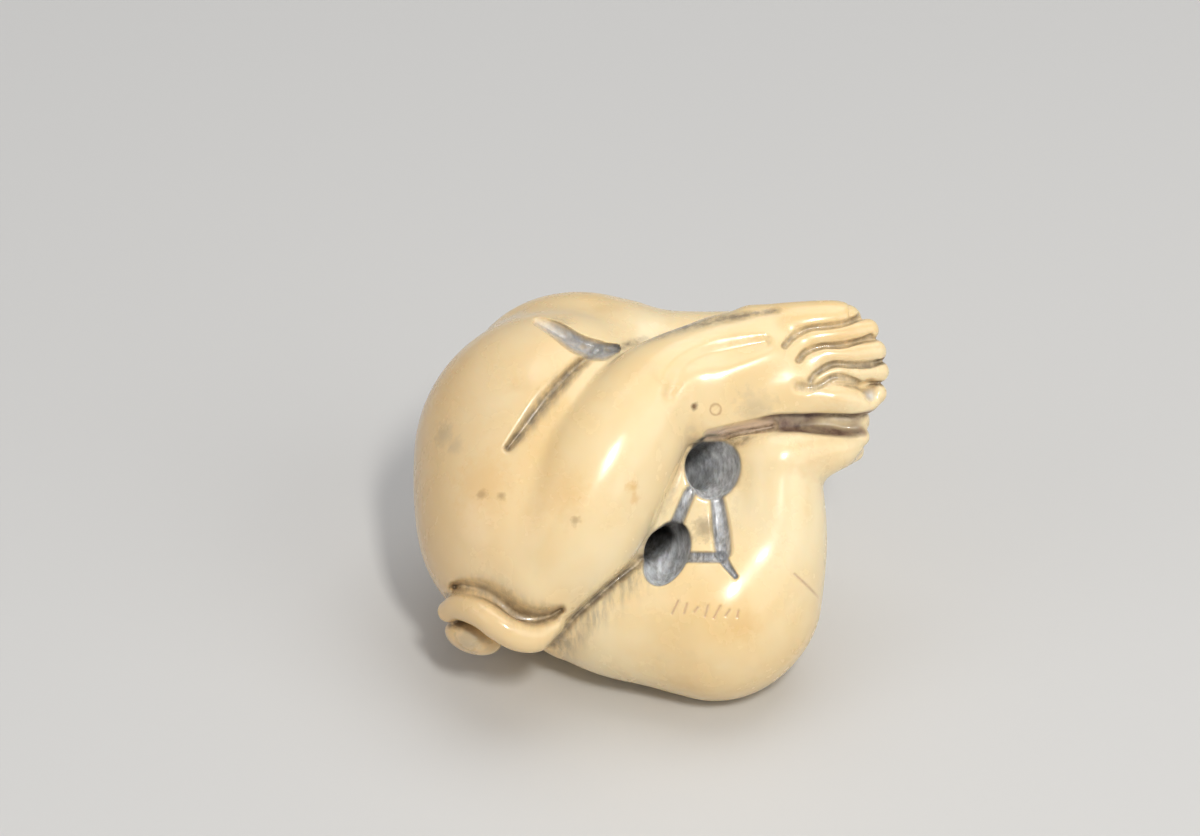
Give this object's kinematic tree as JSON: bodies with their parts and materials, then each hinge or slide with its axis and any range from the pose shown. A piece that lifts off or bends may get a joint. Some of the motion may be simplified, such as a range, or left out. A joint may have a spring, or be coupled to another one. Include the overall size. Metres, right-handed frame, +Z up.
{
  "type": "netsuke",
  "caption": "Polished ivory-coloured netsuke carved as a nude figure curled up over its knees, lying with its underside and cord holes in view.",
  "frame": {"origin": "centre of the bounding box in X and Y, on the surface that the carving lies on", "axes": "+Z up as the carving lies; -Y towards the side that its underside faces, which leans back 35 degrees from upright; +X towards the toes"},
  "size_m": [0.0438, 0.0354, 0.0341],
  "materials": {
    "ivory": "polished, with grey and brown dirt in the furrows and grey shining cord holes"
  },
  "bodies": {
    "root": {"carved_figure": "ivory"}
  },
  "joints": []
}
